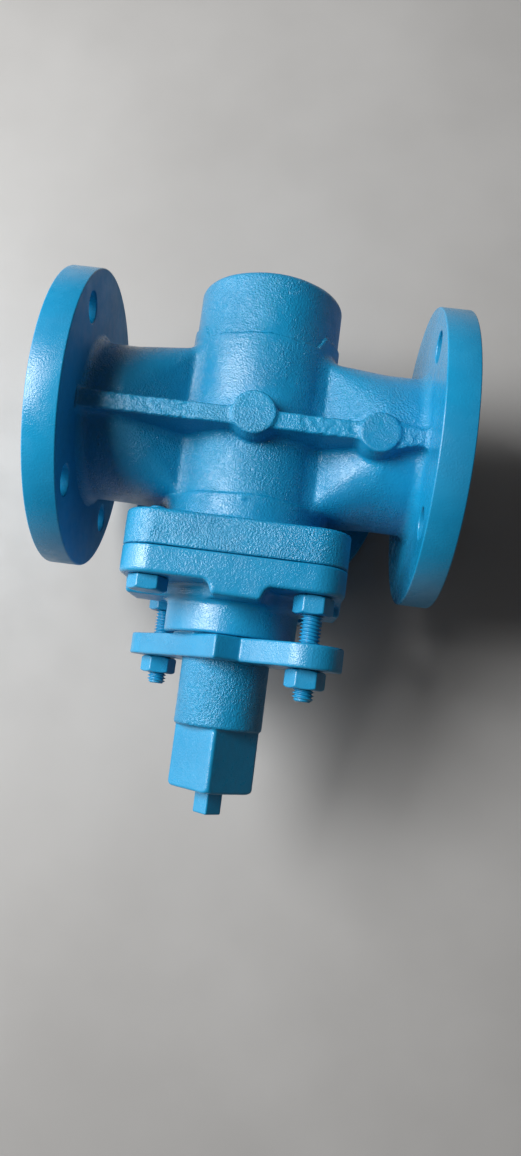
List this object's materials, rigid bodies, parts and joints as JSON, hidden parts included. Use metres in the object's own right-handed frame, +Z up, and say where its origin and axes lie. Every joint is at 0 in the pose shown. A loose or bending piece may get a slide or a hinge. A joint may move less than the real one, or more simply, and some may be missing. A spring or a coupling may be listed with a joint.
{
  "type": "three way plug valve",
  "caption": "Flanged three way lubricated taper plug valve: cast body with run and branch ports, bolted cover, gland-packed stem with wrench square and sealant screw.",
  "frame": {"origin": "under the middle of the bounding box, in the plane of the branch port's raised face, so the part stands on that flange", "axes": "+X along the line of the two run ports, +Y along the plug axis from the wrench square to the closed end of the barrel, +Z up, away from the branch port"},
  "size_m": [0.2508, 0.3346, 0.2207],
  "materials": {
    "casting_paint": "sky blue enamel over rough sand casting, semi-gloss with orange-peel grain",
    "fitting_paint": "the same sky blue enamel over machined and forged steel, smoother and semi-gloss",
    "steel": "bright machined steel",
    "fibre": "matt compressed fibre jointing",
    "packing": "matt graphited braid",
    "sealant": "waxy stick of plug valve sealant"
  },
  "bodies": {
    "housing": {"body": "casting_paint", "cover": "casting_paint", "diaphragm": "steel", "cover_gasket": "fibre", "thrust_washer": "steel", "packing_ring_1": "packing", "packing_ring_2": "packing", "packing_ring_3": "packing", "stud_near": "fitting_paint", "stud_far": "fitting_paint", "cover_nut_near": "fitting_paint", "cover_nut_far": "fitting_paint", "cover_bolt_near": "fitting_paint", "cover_bolt_far": "fitting_paint"},
    "plug": {"plug": "fitting_paint", "check_seat": "steel", "check_spring": "steel"},
    "stick": {"sealant_stick": "sealant"},
    "screw": {"sealant_screw": "fitting_paint"},
    "ball": {"check_ball": "steel"},
    "gland": {"gland": "fitting_paint"},
    "nut_near": {"gland_nut_near": "fitting_paint"},
    "nut_far": {"gland_nut_far": "fitting_paint"}
  },
  "joints": [
    {"name": "plug_turn", "type": "hinge", "parent": "housing", "child": "plug", "pos_m": [0, 0.07175, 0.1254], "axis": [0, 1, 0], "continuous": true},
    {"name": "sealant_advance", "type": "slide", "parent": "plug", "child": "stick", "axis": [0, 1, 0], "range_m": [0, 0.01]},
    {"name": "sealant_screw_turn", "type": "hinge", "parent": "stick", "child": "screw", "pos_m": [0, -0.15, 0.1254], "axis": [0, 1, 0], "range_deg": [0, 1417.5]},
    {"name": "check_ball_lift", "type": "slide", "parent": "plug", "child": "ball", "axis": [0, 1, 0], "range_m": [0, 0.003], "stiffness_N_per_m": 200, "deforming": ["check_spring"]},
    {"name": "gland_slide", "type": "slide", "parent": "housing", "child": "gland", "axis": [0, -1, 0], "range_m": [0, 0.005]},
    {"name": "gland_nut_near_turn", "type": "hinge", "parent": "gland", "child": "nut_near", "pos_m": [0.04865, -0.0798, 0.17405], "axis": [0, -1, 0], "range_deg": [0, 851]},
    {"name": "gland_nut_far_turn", "type": "hinge", "parent": "gland", "child": "nut_far", "pos_m": [-0.04865, -0.0798, 0.07675], "axis": [0, -1, 0], "range_deg": [0, 851]}
  ],
  "couplings": [
    {"joint": "sealant_screw_turn", "follows": "sealant_advance", "rad_per_m": 2473.7},
    {"joint": "gland_nut_near_turn", "follows": "gland_slide", "rad_per_m": 2968.4},
    {"joint": "gland_nut_far_turn", "follows": "gland_slide", "rad_per_m": 2968.4}
  ]
}
